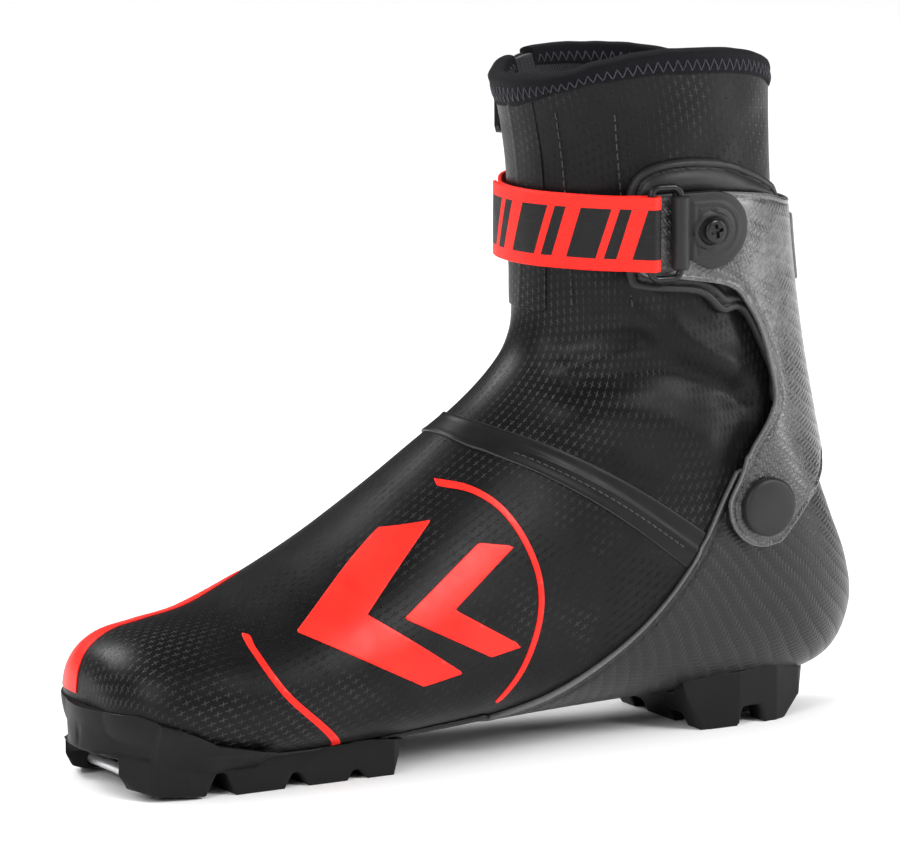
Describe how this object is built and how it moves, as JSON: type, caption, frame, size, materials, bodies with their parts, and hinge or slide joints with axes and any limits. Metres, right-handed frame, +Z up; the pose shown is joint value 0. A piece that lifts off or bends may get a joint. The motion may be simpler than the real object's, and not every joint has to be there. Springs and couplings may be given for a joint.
{
  "type": "cross country skate boot",
  "caption": "High zipped ski boot for skating: soft upper on a carbon heel shell, hinged ankle cuff with strap and ring, two-part lugged sole with a binding bar.",
  "frame": {"origin": "on the ground plane under the heel block's centre rib, straight below the cuff's pivot axis, on the boot's centre line", "axes": "+Z up, toe towards -X, heel towards +X, inner side of the foot towards -Y, outer side towards +Y"},
  "size_m": [0.2915, 0.0993, 0.232],
  "materials": {
    "upper_fabric": "satin coated synthetic with an embossed cross grid",
    "lining": "matt knitted lining",
    "binding": "stretch binding with zigzag stitching",
    "carbon": "woven fibre laminate under clear resin",
    "moulded_plastic": "fine grained moulded plastic",
    "sole_rubber": "matt sole rubber",
    "board": "pressed fibre board",
    "red_film": "satin printed film",
    "red_webbing": "woven strap",
    "steel": "ground steel",
    "black_steel": "black coated steel"
  },
  "bodies": {
    "foot": {"outsole_forefoot": "sole_rubber", "binding_bar": "steel", "outsole_heel": "sole_rubber", "sole_plate": "moulded_plastic", "insole_board": "board", "footbed": "lining", "heel_counter": "carbon", "forefoot_cover": "upper_fabric", "heel_quarter": "upper_fabric", "ankle_panel": "upper_fabric", "liner": "lining", "toe_stripe": "red_film", "seam_tape_inner": "upper_fabric", "seam_tape_outer": "upper_fabric", "pivot_post_inner": "steel", "pivot_washer_inner": "moulded_plastic", "pivot_cap_inner": "moulded_plastic", "pivot_post_outer": "steel", "pivot_washer_outer": "moulded_plastic", "pivot_cap_outer": "moulded_plastic", "zip_tape_front": "lining", "zip_tape_rear": "lining", "zip_coil": "moulded_plastic"},
    "cuff": {"shaft": "upper_fabric", "collar_binding": "binding", "rear_pull_strip": "upper_fabric", "shin_strip": "upper_fabric", "zip_gusset": "lining", "cuff_shell": "carbon", "cuff_pad": "lining", "rear_cuff_plate": "moulded_plastic", "strap_tab": "moulded_plastic", "tab_screw": "black_steel", "tab_nut": "steel", "strap": "red_webbing", "strap_anchor": "moulded_plastic", "anchor_screw": "black_steel", "anchor_nut": "steel"},
    "ring": {"strap_ring": "black_steel"},
    "slider": {"zip_slider": "black_steel"},
    "pull": {"zip_pull": "black_steel"}
  },
  "joints": [
    {"name": "cuff_pivot", "type": "hinge", "parent": "foot", "child": "cuff", "pos_m": [0, 0, 0.079], "axis": [0, -1, 0], "range_deg": [-5, 15], "stiffness_Nm_per_rad": 8, "deforming": ["ankle_panel", "liner", "zip_tape_front", "zip_tape_rear", "zip_coil"]},
    {"name": "ring_swing", "type": "hinge", "parent": "cuff", "child": "ring", "pos_m": [-0.0355, -0.04509, 0.1745], "axis": [0, 0, 1], "range_deg": [-2, 2]},
    {"name": "zip_slide", "type": "slide", "parent": "cuff", "child": "slider", "axis": [-0.1229, -0.2283, -0.9658], "range_m": [0, 0.012]},
    {"name": "zip_pull_swing", "type": "hinge", "parent": "slider", "child": "pull", "pos_m": [-0.05643, 0.03733, 0.21882], "axis": [0.8773, 0.4299, -0.2133], "range_deg": [0, 150]}
  ]
}
